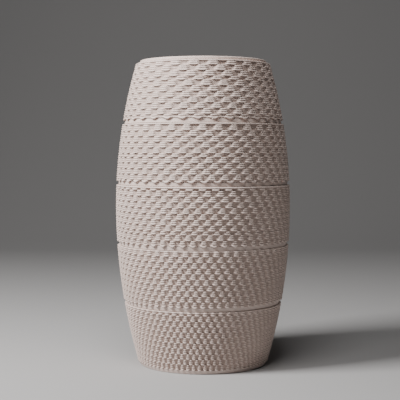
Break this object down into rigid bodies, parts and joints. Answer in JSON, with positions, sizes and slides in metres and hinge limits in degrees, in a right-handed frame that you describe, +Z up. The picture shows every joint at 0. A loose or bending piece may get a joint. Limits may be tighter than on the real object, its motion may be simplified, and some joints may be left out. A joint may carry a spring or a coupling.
{
  "type": "stacked ring vase",
  "caption": "Tall barrel-shaped clay vase, open at the top, built up of ribbed rings that stack and turn on plain locating rings.",
  "frame": {"origin": "centre of the foot's underside, on the surface that the vase stands on", "axes": "+Z up along the axis of the vase; X and Y are level, and -Y faces the viewer"},
  "size_m": [0.173, 0.173, 0.299],
  "materials": {
    "ribbed_clay": "matt unglazed clay with printed beads",
    "smooth_clay": "matt unglazed clay, sponged smooth"
  },
  "bodies": {
    "base": {"foot_plate": "smooth_clay", "course_1": "ribbed_clay"},
    "ring_1": {"joint_ring_1": "smooth_clay"},
    "second": {"course_2": "ribbed_clay"},
    "ring_2": {"joint_ring_2": "smooth_clay"},
    "third": {"course_3": "ribbed_clay"},
    "ring_3": {"joint_ring_3": "smooth_clay"},
    "fourth": {"course_4": "ribbed_clay"},
    "ring_4": {"joint_ring_4": "smooth_clay"},
    "top": {"course_5": "ribbed_clay", "rim_ring": "smooth_clay"}
  },
  "joints": [
    {"name": "lift_1", "type": "slide", "parent": "base", "child": "ring_1", "axis": [0, 0, 1], "range_m": [0, 0.04]},
    {"name": "turn_1", "type": "hinge", "parent": "ring_1", "child": "second", "pos_m": [0, 0, 0.06516], "axis": [0, 0, 1], "continuous": true},
    {"name": "lift_2", "type": "slide", "parent": "second", "child": "ring_2", "axis": [0, 0, 1], "range_m": [0, 0.04]},
    {"name": "turn_2", "type": "hinge", "parent": "ring_2", "child": "third", "pos_m": [0, 0, 0.12266], "axis": [0, 0, 1], "continuous": true},
    {"name": "lift_3", "type": "slide", "parent": "third", "child": "ring_3", "axis": [0, 0, 1], "range_m": [0, 0.04]},
    {"name": "turn_3", "type": "hinge", "parent": "ring_3", "child": "fourth", "pos_m": [0, 0, 0.18194], "axis": [0, 0, 1], "continuous": true},
    {"name": "lift_4", "type": "slide", "parent": "fourth", "child": "ring_4", "axis": [0, 0, 1], "range_m": [0, 0.04]},
    {"name": "turn_4", "type": "hinge", "parent": "ring_4", "child": "top", "pos_m": [0, 0, 0.24122], "axis": [0, 0, 1], "continuous": true}
  ]
}
